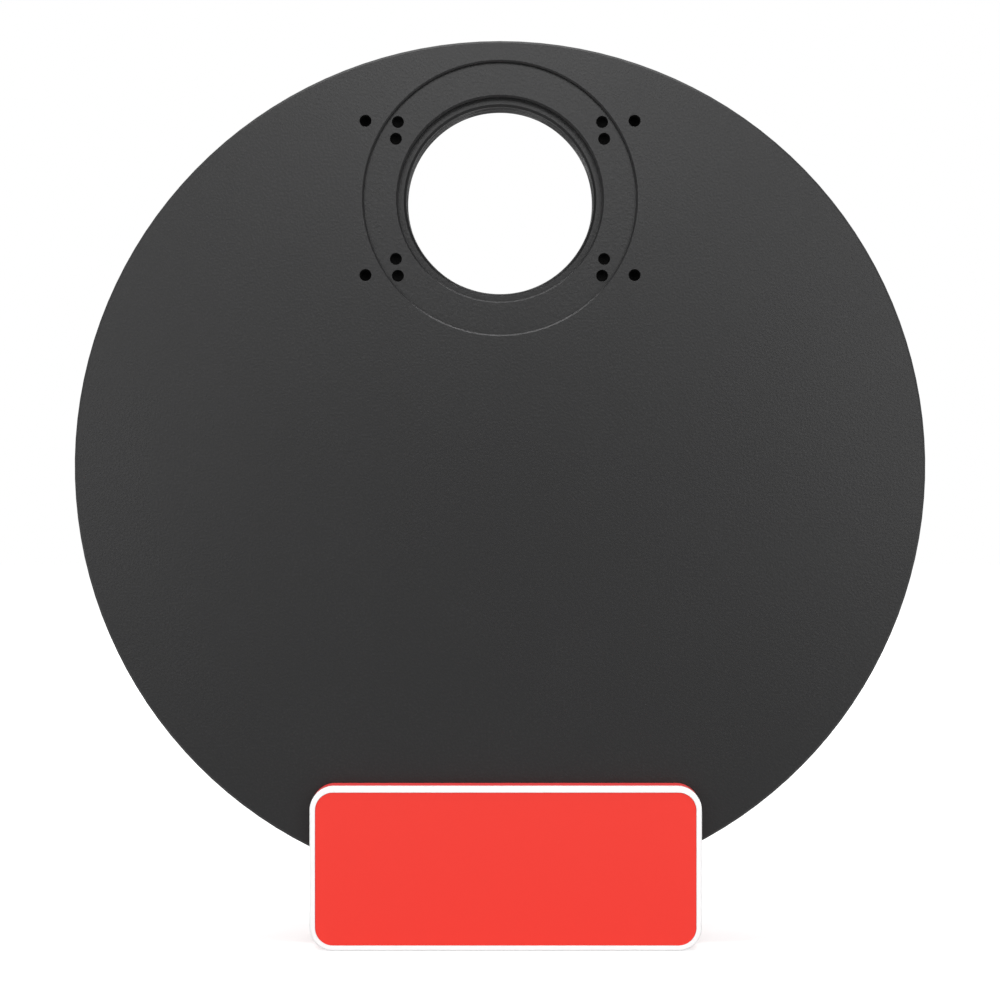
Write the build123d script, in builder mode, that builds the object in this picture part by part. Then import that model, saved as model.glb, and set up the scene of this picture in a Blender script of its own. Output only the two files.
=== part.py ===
from build123d import *
import os
from math import acos, ceil, cos, pi, radians, sin, sqrt, tan

# Motorised seven-position filter wheel for two-inch astronomy filters, in millimetres.
# The origin is on the light axis, at the camera-side face of the case. +Z is up and +Y runs
# along the light path, from the camera side to the telescope side. A depth is a Y value, and
# a drop is a distance down from the wheel's axis.

os.makedirs("parts", exist_ok=True)

# Driving dimensions

# Case
cover_thickness = 3.0
rear_floor = 2.8
rim_wall = 6.4
wheel_room = 2.35
cell_to_floor = 0.7
edge_chamfer = 0.6
seam_chamfer = 0.2
lip_width = 1.3
lip_depth = 1.5
sliding_gap = 0.15

# Stations of the wheel
stations = 7
station_spacing = 57.967
pocket_radius = 23.6
pocket_chamfer = 0.6

# Camera port in the front cover
recess_radius = 34.0
recess_depth = 1.5
port_bore = 25.6
port_step = 2.8
port_thread_length = 2.7
port_thread_chamfer = 0.6
port_wall = 2.5
port_chamfer = 0.4
bolt_radius = 1.5
bolt_depth = 5.5
bolt_land = 4.0
outer_bolt_spacing = (67.0, 38.4)
wide_bolt_spacing = (51.0, 38.4)
low_bolt_spacing = (52.0, 30.0)

# Telescope port: threaded ring on the rear of the case
thread_radius = 26.6
collar_radius = 28.8
ring_flange_radius = 33.5
ring_flange = 1.8
ring_seat = 0.8
collar_height = 2.5
ring_screw_count = 6
ring_screw_end = 0.3
ring_screw_shank = 0.95
ring_screw_head = 1.9

# Cover screws, driven from the rear
cover_screw_count = 12
cover_screws_left_out_count = 2
cover_screw_end = 1.0
blind_end = 0.8
cover_screw_shank = 1.25
cover_screw_head = 2.25
cover_screw_head_height = 2.5
screw_gap = 0.1

# Carousel
carousel_gap = 0.8
carousel_thickness = 4.5
gear_module = 1.25
gear_band = 4.2
pinion_teeth = 14
pressure_angle = 20.0
backlash = 0.12
wheel_addendum = 1.0
tooth_band = 2.0
root_clearance = 0.25
hub_radius = 12.0
hub_front = 4.4
hub_shoulder = 0.5
hub_shoulder_bore = 6.9
lightening_radius = 8.5
lightening_web = 7.0
magnet_radius = 2.0
magnet_thickness = 2.0
magnet_inset = 1.9
home_magnet_turn = 6.0

# Bearings and axle
bearing_bore = 4.0
bearing_radius = 8.0
bearing_width = 5.0
race_inner = 5.2
race_outer = 6.8
shield_thickness = 0.4
shield_gap = 0.3
axle_flange_radius = 9.5
axle_shoulder_radius = 5.0
axle_end = 3.5
circlip_thickness = 0.8
circlip_radius = 5.1
circlip_mouth = 4.6
circlip_groove = 0.5
axle_flange_gap = 0.3
axle_screw_count = 3
axle_screw_circle_radius = 6.6
axle_screw_shank = 1.2
axle_screw_head = 2.3
axle_screw_reach = 1.2

# Filters
filter_count = stations - 1
cell_shoulder = 1.6
cell_height = 4.2
cell_thread_wall = 1.1
cell_thread_length = 2.7
cell_wall = 1.9
glass_thickness = 2.0
glass_seat = 1.1
retainer_width = 1.0
retainer_thickness = 0.8
filter_gap = 0.1

# Drive box
box_width = 96.4
box_corner = 5.75
box_offset = 1.4
box_front = 4.7
box_wall = 1.8
box_floor = 1.5
saddle_gap = 0.1
lid_thickness = 2.4
lid_rim = 1.36
lid_edge = 0.5
label_thickness = 0.4
label_recess = 0.5
lid_lip = 0.8
post_radius = 3.2
post_inset = 4.4
lid_screw_shank = 1.25
lid_screw_head = 2.3
lid_screw_reach = 4.2

# Motor and its plate
motor_angle = 12.0
motor_radius = 12.5
motor_front = 4.3
motor_flange = 0.8
motor_ear_spacing = 32.0
motor_ear_radius = 3.4
motor_boss_radius = 3.5
motor_boss_height = 1.2
motor_room = 2.14
motor_can_edge = 0.8
ear_screw_shank = 1.0
ear_screw_head = 1.9
ear_screw_head_height = 1.2
plate_thickness = 1.0
plate_width = 41.0
plate_reach = 8.0
plate_below_case = 5.0
plate_corner = 2.5
plate_gap = 0.3
plate_to_wheel = 0.8
plate_screw_spacing = 35.0
plate_screw_to_edge = 2.6
plate_screw_shank = 1.0
plate_screw_head = 1.9
plate_screw_head_height = 1.3
plate_screw_reach = 5.0
shaft_radius = 1.5
shaft_running_gap = 0.05
shaft_front = -1.0
shaft_end = 0.4
shaft_end_play = 0.3
pinion_width = 5.2
pinion_gap = 0.5
pinion_pocket = 10.8
pinion_pocket_depth = 14.0

# The motor's pins and their socket on the board
terminal_length = 2.0
terminal_width = 9.0
terminal_height = 3.2
socket_length = 3.0
socket_height = 2.4
socket_inset = 1.1
pin_count = 5
pin_pitch = 1.6
pin_side = 0.64

# Control board
board_thickness = 1.6
board_to_motor = 3.33
board_to_side = 1.2
board_to_top = 5.35
board_below_case = 3.4
board_corner = 1.0
board_gap = 0.5
rim_board_screw_insets = (8.5, 3.2)
box_board_screw_insets = (19.0, 10.6)
board_screw_to_edge = 2.4
board_screw_shank = 0.9
board_screw_head = 1.7
board_screw_head_height = 1.2
board_screw_reach = 3.0
chips = (
    ((-2.8, 0.7), (7.0, 7.0), 1.0),
    ((-16.3, 2.7), (5.0, 5.0), 0.9),
    ((8.7, 6.2), (3.2, 2.5), 0.8),
    ((9.2, -2.3), (4.9, 6.0), 1.5),
    ((-9.3, 8.2), (3.5, 1.6), 1.3),
    ((-1.3, 8.2), (3.5, 1.6), 1.3),
)
sensor_size = (4.1, 3.0)
sensor_to_edge = 2.5
sensor_height = 1.5
usb_width = 9.0
usb_height = 3.2
usb_length = 7.4
usb_to_edge = 5.8
usb_shell = 0.35
usb_tongue = (0.7, 6.7)
usb_tongue_length = 4.8

# Screws that hold the drive box to the case
housing_screw_spacing = 50.0
housing_screw_to_top = 2.45
housing_screw_shank = 1.25
housing_screw_head = 2.1
housing_screw_head_height = 1.6
housing_screw_reach = 2.6

# Telling circles apart
radius_tolerance = 0.01

# Worked out from them

# The wheel: its stations stand side by side, its teeth clear the pockets, and the case its teeth.
pocket_circle = station_spacing / 2 / sin(pi / stations)
magnet_circle = pocket_circle + pocket_radius - magnet_inset
root_depth = (1 + root_clearance) * gear_module
wheel_teeth = ceil(2 * (pocket_circle + pocket_radius + gear_band + root_depth) / gear_module)
wheel_pitch_radius = gear_module * wheel_teeth / 2
pinion_pitch_radius = gear_module * pinion_teeth / 2
wheel_tip_radius = wheel_pitch_radius + wheel_addendum
wheel_root_radius = wheel_pitch_radius - root_depth
pinion_tip_radius = pinion_pitch_radius + gear_module
pinion_root_radius = pinion_pitch_radius - wheel_addendum - root_clearance * gear_module
gear_centres = wheel_pitch_radius + pinion_pitch_radius
lightening_circle = hub_radius + lightening_web + lightening_radius

case_bore = wheel_tip_radius + wheel_room
case_radius = case_bore + rim_wall
rim_middle = (case_bore + case_radius) / 2
port_back = recess_depth + port_step + port_thread_length
port_thread_radius = pocket_radius
port_block_radius = recess_radius + port_wall
ring_screw_circle_radius = (collar_radius + ring_flange_radius) / 2
carousel_front = port_back + carousel_gap
carousel_back = carousel_front + carousel_thickness

hub_back = hub_front + hub_shoulder + 2 * bearing_width + hub_shoulder
bearing_front = hub_front + hub_shoulder
bearing_back = bearing_front + 2 * bearing_width

cell_radius = pocket_radius + cell_shoulder
cell_thread_radius = pocket_radius - filter_gap
cell_bore = cell_thread_radius - cell_thread_wall
glass_radius = cell_radius - cell_wall
cell_back = carousel_back + cell_height
glass_front = carousel_back + glass_seat
glass_back = glass_front + glass_thickness
floor_depth = cell_back + cell_to_floor
case_depth = floor_depth + rear_floor

# The motor and the board set the height of the drive box.
plate_back = carousel_front - plate_to_wheel
plate_front = plate_back - plate_thickness
plate_top = case_bore - plate_reach
plate_bottom = case_radius + plate_below_case
motor_flange_front = plate_front - motor_flange
motor_x = -gear_centres * sin(radians(motor_angle))
motor_drop = gear_centres * cos(radians(motor_angle))
pinion_front = plate_back + pinion_gap
pinion_back = pinion_front + pinion_width
box_right = box_offset + box_width / 2
box_inner_width = box_width - 2 * box_wall
board_back = cover_thickness
board_front = board_back - board_thickness
board_left = motor_x + motor_radius + board_to_motor
board_right = box_right - box_wall - board_to_side
board_top = magnet_circle - sensor_to_edge
board_bottom = case_radius + board_below_case
box_top = board_top - board_to_top - box_wall
box_bottom = motor_drop + motor_radius + motor_room + box_wall
box_height = box_bottom - box_top
box_drop = (box_top + box_bottom) / 2
box_inner_height = box_height - 2 * box_wall
inner_corner = box_corner - box_wall
post_spacing = (box_width - 2 * post_inset, box_height - 2 * post_inset)
lid_back = -box_front
lid_front = lid_back - lid_thickness
housing_screw_drop = box_top + box_wall + housing_screw_to_top
usb_drop = board_bottom - usb_to_edge
usb_depth = board_front - usb_height / 2


# Planes, gears and screws


def port_plane(depth):
    """Plane across the light axis, facing the camera side: its x is X and its y is Z."""
    return Plane(origin=(0, depth, 0), x_dir=(1, 0, 0), z_dir=(0, -1, 0))


def wheel_plane(depth):
    """The same, centred on the wheel's axis."""
    return Plane(origin=(0, depth, -pocket_circle), x_dir=(1, 0, 0), z_dir=(0, -1, 0))


def box_plane(depth):
    """The same, centred on the drive box."""
    return Plane(
        origin=(box_offset, depth, -pocket_circle - box_drop), x_dir=(1, 0, 0), z_dir=(0, -1, 0)
    )


def motor_plane(depth):
    """The same, centred on the motor's shaft."""
    return Plane(
        origin=(motor_x, depth, -pocket_circle - motor_drop), x_dir=(1, 0, 0), z_dir=(0, -1, 0)
    )


def rear_facing(plane):
    """The plane turned round, to face the telescope side."""
    return Plane(origin=plane.origin, x_dir=-plane.x_dir, z_dir=-plane.z_dir)


def corners(width, height):
    """The four corners of a rectangle about the plane's origin, as sketch points."""
    return [(i * width / 2, j * height / 2) for i in (-1, 1) for j in (-1, 1)]


def polar(radius, angle):
    return radius * cos(angle), radius * sin(angle)


def on_rim(x):
    """The point of the case's rim wall, on a wheel plane, that lies at x below the axis."""
    return x, -sqrt(rim_middle**2 - x**2)


def gear(teeth, pitch_radius, tip_radius, root_radius, first_tooth):
    """A spur gear's face, with involute flanks drawn as arcs through three of their points."""
    alpha = radians(pressure_angle)
    base_radius = pitch_radius * cos(alpha)
    foot_radius = max(root_radius, base_radius)
    flank_radii = (foot_radius, (foot_radius + tip_radius) / 2, tip_radius)
    pitch_half_angle = pi / (2 * teeth) - backlash / (2 * pitch_radius)

    def half_angle(radius):
        phi = acos(base_radius / radius)
        return pitch_half_angle + (tan(alpha) - alpha) - (tan(phi) - phi)

    edges = []
    for tooth in range(teeth):
        centre = radians(first_tooth) + 2 * pi * tooth / teeth
        rising = [polar(radius, centre - half_angle(radius)) for radius in flank_radii]
        falling = [polar(radius, centre + half_angle(radius)) for radius in reversed(flank_radii)]
        this_root = polar(root_radius, centre + half_angle(foot_radius))
        next_angle = centre + 2 * pi / teeth - half_angle(foot_radius)
        next_root = polar(root_radius, next_angle)
        edges.append(ThreePointArc(*rising))
        edges.append(Line(rising[-1], falling[0]))
        edges.append(ThreePointArc(*falling))
        if root_radius < foot_radius:
            edges.append(Line(falling[-1], this_root))
        edges.append(Line(this_root, next_root))
        if root_radius < foot_radius:
            edges.append(Line(next_root, polar(foot_radius, next_angle)))
    with BuildSketch() as face:
        with BuildLine():
            add(edges)
        make_face()
    return face.sketch


def screws(plane_at, places, seat, tip, shank, head, head_height, countersunk=False):
    """Screws at these points of the plane: the head's underside, or its face if countersunk, is
    at depth seat and the thread ends at depth tip. Each has a hexagon socket."""
    inward = 1 if seat > tip else -1
    face = seat if countersunk else seat + inward * head_height
    socket_depth = 0.6 * head_height
    with BuildPart() as group:
        with BuildSketch(plane_at(seat)):
            with Locations(*places):
                Circle(shank)
        extrude(amount=inward * abs(seat - tip))
        with BuildSketch(plane_at(face)):
            with Locations(*places):
                Circle(head)
        extrude(amount=inward * head_height, taper=45 if countersunk else 0)
        with BuildSketch(plane_at(face)):
            with Locations(*places):
                RegularPolygon(0.5 * head, 6)
        extrude(amount=inward * socket_depth, mode=Mode.SUBTRACT)
    return group


def write(name, part):
    part.label = name
    export_step(part, f"parts/{name}.step")


# Case

screw_step = 360 / cover_screw_count
each_side_count = cover_screws_left_out_count // 2
cover_screw_angles = [
    -90 + screw_step * (i + 0.5)
    for i in range(each_side_count, cover_screw_count - each_side_count)
]
cover_screw_points = [polar(rim_middle, radians(a)) for a in cover_screw_angles]
plate_centre = (motor_x, -(plate_top + plate_bottom) / 2)
board_centre = ((board_left + board_right) / 2, -(board_top + board_bottom) / 2)
plate_screw_points = [
    on_rim(motor_x - plate_screw_spacing / 2),
    (motor_x - plate_screw_spacing / 2, plate_screw_to_edge - plate_bottom),
    (motor_x + plate_screw_spacing / 2, plate_screw_to_edge - plate_bottom),
]
board_screw_points = [
    on_rim(board_left + rim_board_screw_insets[0]),
    on_rim(board_right - rim_board_screw_insets[1]),
    (board_left + box_board_screw_insets[0], board_screw_to_edge - board_bottom),
    (board_right - box_board_screw_insets[1], board_screw_to_edge - board_bottom),
]
housing_screw_points = [
    (side * housing_screw_spacing / 2, -housing_screw_drop) for side in (-1, 1)
]


def motor_bay():
    """Room for the motor and its plate, on a wheel plane."""
    with Locations(plate_centre):
        Rectangle(plate_width + 2 * plate_gap, plate_bottom - plate_top + 2 * plate_gap)
    with Locations((motor_x, -motor_drop)):
        Circle(motor_radius + plate_gap)


def board_bay():
    """Room for the control board, on a wheel plane."""
    with Locations(board_centre):
        Rectangle(board_right - board_left + 2 * board_gap, board_bottom - board_top + 2 * board_gap)


with BuildPart() as front_cover:
    with BuildSketch(wheel_plane(cover_thickness)):
        Circle(case_radius)
    extrude(amount=cover_thickness)
    chamfer(front_cover.faces().sort_by(Axis.Y)[0].edges(), edge_chamfer)
    chamfer(front_cover.faces().sort_by(Axis.Y)[-1].edges(), seam_chamfer)
    with BuildSketch(wheel_plane(cover_thickness + lip_depth)):
        Circle(case_bore - sliding_gap)
        Circle(case_bore - sliding_gap - lip_width, mode=Mode.SUBTRACT)
    extrude(amount=lip_depth)
    with BuildSketch(port_plane(port_back)):
        Circle(port_block_radius)
        RectangleRounded(
            outer_bolt_spacing[0] + 2 * bolt_land, outer_bolt_spacing[1] + 2 * bolt_land, bolt_land
        )
    extrude(amount=port_back - cover_thickness)
    with BuildSketch(port_plane(recess_depth)):
        Circle(recess_radius)
    extrude(amount=recess_depth, mode=Mode.SUBTRACT)
    with BuildSketch(port_plane(recess_depth + port_step)):
        Circle(port_bore)
    extrude(amount=port_step, mode=Mode.SUBTRACT)
    with BuildSketch(port_plane(port_back)):
        Circle(port_thread_radius)
    extrude(amount=port_thread_length, mode=Mode.SUBTRACT)
    port_rims = front_cover.edges().filter_by(GeomType.CIRCLE)
    mouths = port_rims.filter_by(lambda e: abs(e.radius - recess_radius) < radius_tolerance)
    bore_rims = port_rims.filter_by(lambda e: abs(e.radius - port_bore) < radius_tolerance)
    thread_rims = port_rims.filter_by(lambda e: abs(e.radius - port_thread_radius) < radius_tolerance)
    chamfer([mouths.sort_by(Axis.Y)[0], bore_rims.sort_by(Axis.Y)[0]], port_chamfer)
    chamfer(thread_rims.sort_by(Axis.Y)[0], port_thread_chamfer)
    with Locations(port_plane(0)):
        with Locations(*corners(*outer_bolt_spacing)):
            Hole(bolt_radius, depth=bolt_depth)
    with Locations(port_plane(recess_depth)):
        with Locations(*corners(*wide_bolt_spacing), *corners(*low_bolt_spacing)):
            Hole(bolt_radius, depth=bolt_depth - recess_depth)
    with Locations(rear_facing(wheel_plane(cover_thickness))):
        with Locations(*cover_screw_points):
            Hole(cover_screw_shank + screw_gap / 2, depth=cover_thickness - blind_end)
    with Locations(wheel_plane(0)):
        with Locations(*housing_screw_points):
            Hole(housing_screw_shank + screw_gap / 2, depth=housing_screw_reach + screw_gap)
    with BuildSketch(wheel_plane(port_back)):
        motor_bay()
        board_bay()
    extrude(amount=port_back, mode=Mode.SUBTRACT)
write("front_cover", front_cover.part)

with BuildPart() as rear_housing:
    with BuildSketch(wheel_plane(case_depth)):
        Circle(case_radius)
    extrude(amount=case_depth - cover_thickness)
    chamfer(rear_housing.faces().sort_by(Axis.Y)[-1].edges(), edge_chamfer)
    chamfer(rear_housing.faces().sort_by(Axis.Y)[0].edges(), seam_chamfer)
    with BuildSketch(wheel_plane(floor_depth)):
        Circle(case_bore)
    extrude(amount=floor_depth - cover_thickness, mode=Mode.SUBTRACT)
    with BuildSketch(port_plane(port_back + sliding_gap)):
        Circle(port_block_radius + sliding_gap)
    extrude(amount=port_back + sliding_gap - cover_thickness, mode=Mode.SUBTRACT)
    with BuildSketch(port_plane(case_depth)):
        Circle(collar_radius + screw_gap)
    extrude(amount=rear_floor, mode=Mode.SUBTRACT)
    with BuildSketch(port_plane(case_depth)):
        Circle(ring_flange_radius + screw_gap)
    extrude(amount=ring_seat, mode=Mode.SUBTRACT)
    with Locations(rear_facing(port_plane(case_depth - ring_seat))):
        with PolarLocations(ring_screw_circle_radius, ring_screw_count, start_angle=180 / ring_screw_count):
            Hole(ring_screw_shank + screw_gap / 2, depth=rear_floor - ring_seat)
    with Locations(rear_facing(wheel_plane(case_depth))):
        with Locations(*cover_screw_points):
            CounterBoreHole(
                cover_screw_shank + screw_gap,
                cover_screw_head + screw_gap,
                cover_screw_head_height + screw_gap,
                depth=case_depth - cover_thickness,
            )
        with PolarLocations(axle_screw_circle_radius, axle_screw_count, start_angle=90):
            CounterSinkHole(
                axle_screw_shank + screw_gap,
                axle_screw_head + screw_gap,
                depth=rear_floor,
                counter_sink_angle=90,
            )
    with BuildSketch(wheel_plane(plate_back)):
        motor_bay()
    extrude(amount=plate_back - cover_thickness, mode=Mode.SUBTRACT)
    with BuildSketch(motor_plane(pinion_pocket_depth)):
        Circle(pinion_pocket)
    extrude(amount=pinion_pocket_depth - plate_back, mode=Mode.SUBTRACT)
    with Locations(wheel_plane(plate_back)):
        with Locations(plate_screw_points[0]):
            Hole(plate_screw_shank + screw_gap / 2, depth=plate_screw_reach)
    with Locations(wheel_plane(board_back)):
        with Locations(*board_screw_points[: len(rim_board_screw_insets)]):
            Hole(board_screw_shank + screw_gap / 2, depth=board_screw_reach + screw_gap)
write("rear_housing", rear_housing.part)

cover_screws = screws(
    wheel_plane,
    [(-x, y) for x, y in cover_screw_points],
    case_depth - cover_screw_head_height,
    cover_screw_end,
    cover_screw_shank,
    cover_screw_head,
    cover_screw_head_height,
)
write("cover_screws", cover_screws.part)

with BuildPart() as scope_ring:
    with BuildSketch(port_plane(case_depth - ring_seat + ring_flange)):
        Circle(ring_flange_radius)
    extrude(amount=ring_flange)
    with BuildSketch(port_plane(case_depth + collar_height)):
        Circle(collar_radius)
    extrude(amount=collar_height + rear_floor - sliding_gap)
    with BuildSketch(port_plane(case_depth + collar_height)):
        Circle(thread_radius)
    extrude(amount=collar_height + rear_floor, mode=Mode.SUBTRACT)
    ring_edges = scope_ring.edges().filter_by(GeomType.CIRCLE)
    chamfer(ring_edges.group_by(Axis.Y)[-1], port_chamfer)
    with Locations(rear_facing(port_plane(case_depth - ring_seat + ring_flange))):
        with PolarLocations(ring_screw_circle_radius, ring_screw_count, start_angle=180 / ring_screw_count):
            CounterSinkHole(
                ring_screw_shank + screw_gap,
                ring_screw_head + screw_gap,
                depth=ring_flange,
                counter_sink_angle=90,
            )
write("scope_ring", scope_ring.part)

ring_screw_points = [
    polar(ring_screw_circle_radius, 2 * pi * (i + 0.5) / ring_screw_count) for i in range(ring_screw_count)
]
ring_screw_group = screws(
    port_plane,
    ring_screw_points,
    case_depth - ring_seat + ring_flange,
    floor_depth + ring_screw_end,
    ring_screw_shank,
    ring_screw_head,
    ring_screw_head - ring_screw_shank,
    countersunk=True,
)
write("scope_ring_screws", ring_screw_group.part)

# Axle and bearings

with BuildPart() as wheel_axle:
    with BuildSketch(wheel_plane(floor_depth)):
        Circle(axle_flange_radius)
    extrude(amount=floor_depth - hub_back - axle_flange_gap)
    with BuildSketch(wheel_plane(floor_depth)):
        Circle(axle_shoulder_radius)
    extrude(amount=floor_depth - bearing_back)
    with BuildSketch(wheel_plane(floor_depth)):
        Circle(bearing_bore)
    extrude(amount=floor_depth - axle_end)
    with BuildSketch(wheel_plane(bearing_front)):
        Circle(bearing_bore + circlip_groove)
        Circle(bearing_bore - circlip_groove, mode=Mode.SUBTRACT)
    extrude(amount=circlip_thickness, mode=Mode.SUBTRACT)
    with Locations(rear_facing(wheel_plane(floor_depth))):
        with PolarLocations(axle_screw_circle_radius, axle_screw_count, start_angle=90):
            Hole(axle_screw_shank + screw_gap / 2, depth=axle_screw_reach)
write("wheel_axle", wheel_axle.part)

with BuildPart() as axle_circlip:
    with BuildSketch(wheel_plane(bearing_front)):
        Circle(circlip_radius)
        Circle(bearing_bore - circlip_groove + screw_gap / 2, mode=Mode.SUBTRACT)
        with Locations((0, -circlip_radius)):
            Rectangle(circlip_mouth, 2 * circlip_radius, mode=Mode.SUBTRACT)
    extrude(amount=circlip_thickness)
write("axle_circlip", axle_circlip.part)

axle_screw_points = [
    polar(axle_screw_circle_radius, pi / 2 + 2 * pi * i / axle_screw_count) for i in range(axle_screw_count)
]
axle_screws = screws(
    wheel_plane,
    [(-x, y) for x, y in axle_screw_points],
    case_depth,
    floor_depth - axle_screw_reach + screw_gap,
    axle_screw_shank,
    axle_screw_head,
    axle_screw_head - axle_screw_shank,
    countersunk=True,
)
write("axle_screws", axle_screws.part)

with BuildPart() as bearing_inner_rings:
    for bearing in range(2):
        with BuildSketch(wheel_plane(bearing_front + bearing_width * (bearing + 1))):
            Circle(race_inner)
            Circle(bearing_bore, mode=Mode.SUBTRACT)
        extrude(amount=bearing_width)
write("bearing_inner_rings", bearing_inner_rings.part)

with BuildPart() as bearing_outer_rings:
    for bearing in range(2):
        back = bearing_front + bearing_width * (bearing + 1)
        with BuildSketch(wheel_plane(back)):
            Circle(bearing_radius)
            Circle(race_outer, mode=Mode.SUBTRACT)
        extrude(amount=bearing_width)
        for shield_back in (back, back - bearing_width + shield_thickness):
            with BuildSketch(wheel_plane(shield_back)):
                Circle(race_outer)
                Circle(race_inner + shield_gap, mode=Mode.SUBTRACT)
            extrude(amount=shield_thickness)
write("bearing_outer_rings", bearing_outer_rings.part)

# Carousel

mesh_angle = -90 - motor_angle
wheel_outline = gear(
    wheel_teeth,
    wheel_pitch_radius,
    wheel_tip_radius,
    wheel_root_radius,
    mesh_angle + 180 / wheel_teeth,
)
pinion_outline = gear(
    pinion_teeth, pinion_pitch_radius, pinion_tip_radius, pinion_root_radius, mesh_angle + 180
)

# One magnet between each two stations, and a second beside the first of them marks home.
magnet_angles = [90 + 180 / stations + 360 / stations * i for i in range(stations)]
magnet_angles.append(magnet_angles[0] + home_magnet_turn)
magnet_points = [polar(magnet_circle, radians(a)) for a in magnet_angles]

with BuildPart() as carousel:
    with BuildSketch(wheel_plane(carousel_back)):
        Circle(wheel_root_radius - tooth_band)
        with PolarLocations(pocket_circle, stations, start_angle=90):
            Circle(pocket_radius, mode=Mode.SUBTRACT)
        with PolarLocations(lightening_circle, stations, start_angle=90 + 180 / stations):
            Circle(lightening_radius, mode=Mode.SUBTRACT)
    extrude(amount=carousel_thickness)
    pocket_rims = carousel.edges().filter_by(
        lambda e: e.geom_type == GeomType.CIRCLE and abs(e.radius - pocket_radius) < radius_tolerance
    )
    chamfer(pocket_rims.group_by(Axis.Y)[0], pocket_chamfer)
    with BuildSketch(wheel_plane(hub_back)):
        Circle(hub_radius)
    extrude(amount=hub_back - hub_front)
    with BuildSketch(wheel_plane(bearing_back)):
        Circle(bearing_radius)
    extrude(amount=bearing_back - hub_front, mode=Mode.SUBTRACT)
    with BuildSketch(wheel_plane(hub_back)):
        Circle(hub_shoulder_bore)
    extrude(amount=hub_back - hub_front, mode=Mode.SUBTRACT)
    with Locations(wheel_plane(carousel_front)):
        with Locations(*magnet_points):
            Hole(magnet_radius, depth=magnet_thickness)
    with BuildSketch(wheel_plane(carousel_back)):
        add(wheel_outline)
        Circle(wheel_root_radius - tooth_band, mode=Mode.SUBTRACT)
    extrude(amount=carousel_thickness)
write("carousel", carousel.part)

with BuildPart() as index_magnets:
    with BuildSketch(wheel_plane(carousel_front + magnet_thickness)):
        with Locations(*magnet_points):
            Circle(magnet_radius)
    extrude(amount=magnet_thickness)
write("index_magnets", index_magnets.part)

# Filters, in every station but the one on the light axis

filter_points = [
    polar(pocket_circle, pi / 2 + 2 * pi * (i + 1) / stations) for i in range(filter_count)
]
with BuildPart() as filter_cells:
    with BuildSketch(wheel_plane(cell_back)):
        with Locations(*filter_points):
            Circle(cell_radius)
    extrude(amount=cell_height)
    with BuildSketch(wheel_plane(carousel_back)):
        with Locations(*filter_points):
            Circle(cell_thread_radius)
    extrude(amount=cell_thread_length)
    with BuildSketch(wheel_plane(cell_back)):
        with Locations(*filter_points):
            Circle(cell_bore)
    extrude(amount=cell_height + cell_thread_length, mode=Mode.SUBTRACT)
    with BuildSketch(wheel_plane(cell_back)):
        with Locations(*filter_points):
            Circle(glass_radius + filter_gap)
    extrude(amount=cell_back - glass_front, mode=Mode.SUBTRACT)
write("filter_cells", filter_cells.part)

with BuildPart() as filter_retainers:
    with BuildSketch(wheel_plane(glass_back + retainer_thickness)):
        with Locations(*filter_points):
            Circle(glass_radius)
            Circle(glass_radius - retainer_width, mode=Mode.SUBTRACT)
    extrude(amount=retainer_thickness)
write("filter_retainers", filter_retainers.part)

glass_names = ("luminance", "red", "green", "blue", "hydrogen", "oxygen")
for glass_name, point in zip(glass_names, filter_points):
    with BuildPart() as glass:
        with BuildSketch(wheel_plane(glass_back)):
            with Locations(point):
                Circle(glass_radius)
        extrude(amount=glass_thickness)
    write(f"glass_{glass_name}", glass.part)

# Drive box

post_points = corners(*post_spacing)
usb_plane_right = Plane(
    origin=(box_right, usb_depth, -pocket_circle - usb_drop), x_dir=(0, 0, 1), z_dir=(1, 0, 0)
)

with BuildPart() as drive_housing:
    with BuildSketch(box_plane(case_depth)):
        RectangleRounded(box_width, box_height, box_corner)
    extrude(amount=case_depth + box_front)
    chamfer(drive_housing.faces().sort_by(Axis.Y)[-1].edges(), edge_chamfer)
    with BuildSketch(box_plane(-box_floor)):
        RectangleRounded(box_inner_width, box_inner_height, inner_corner)
        with Locations(*post_points):
            Circle(post_radius, mode=Mode.SUBTRACT)
    extrude(amount=box_front - box_floor, mode=Mode.SUBTRACT)
    with BuildSketch(wheel_plane(case_depth)):
        Circle(case_radius + saddle_gap)
    extrude(amount=case_depth, mode=Mode.SUBTRACT)
    with BuildSketch(wheel_plane(board_back)):
        board_bay()
    extrude(amount=board_back + box_floor, mode=Mode.SUBTRACT)
    with BuildSketch(wheel_plane(plate_back)):
        motor_bay()
    extrude(amount=plate_back + box_floor, mode=Mode.SUBTRACT)
    with BuildSketch(motor_plane(pinion_pocket_depth)):
        Circle(pinion_pocket)
    extrude(amount=pinion_pocket_depth - plate_back, mode=Mode.SUBTRACT)
    with Locations(box_plane(-box_front)):
        with Locations(*post_points):
            Hole(lid_screw_shank + screw_gap / 2, depth=lid_screw_reach)
    with Locations(wheel_plane(-box_floor)):
        with Locations(*housing_screw_points):
            Hole(housing_screw_shank + screw_gap, depth=box_floor)
    with Locations(wheel_plane(plate_back)):
        with Locations(*plate_screw_points[1:]):
            Hole(plate_screw_shank + screw_gap / 2, depth=plate_screw_reach)
    with Locations(wheel_plane(board_back)):
        with Locations(*board_screw_points[len(rim_board_screw_insets) :]):
            Hole(board_screw_shank + screw_gap / 2, depth=board_screw_reach + screw_gap)
    with BuildSketch(usb_plane_right):
        SlotOverall(usb_width + 2 * screw_gap, usb_height + 2 * screw_gap)
    extrude(amount=-usb_length - board_gap, mode=Mode.SUBTRACT)
write("drive_housing", drive_housing.part)

housing_screws = screws(
    wheel_plane,
    housing_screw_points,
    -box_floor,
    housing_screw_reach,
    housing_screw_shank,
    housing_screw_head,
    housing_screw_head_height,
)
write("housing_screws", housing_screws.part)

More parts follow.
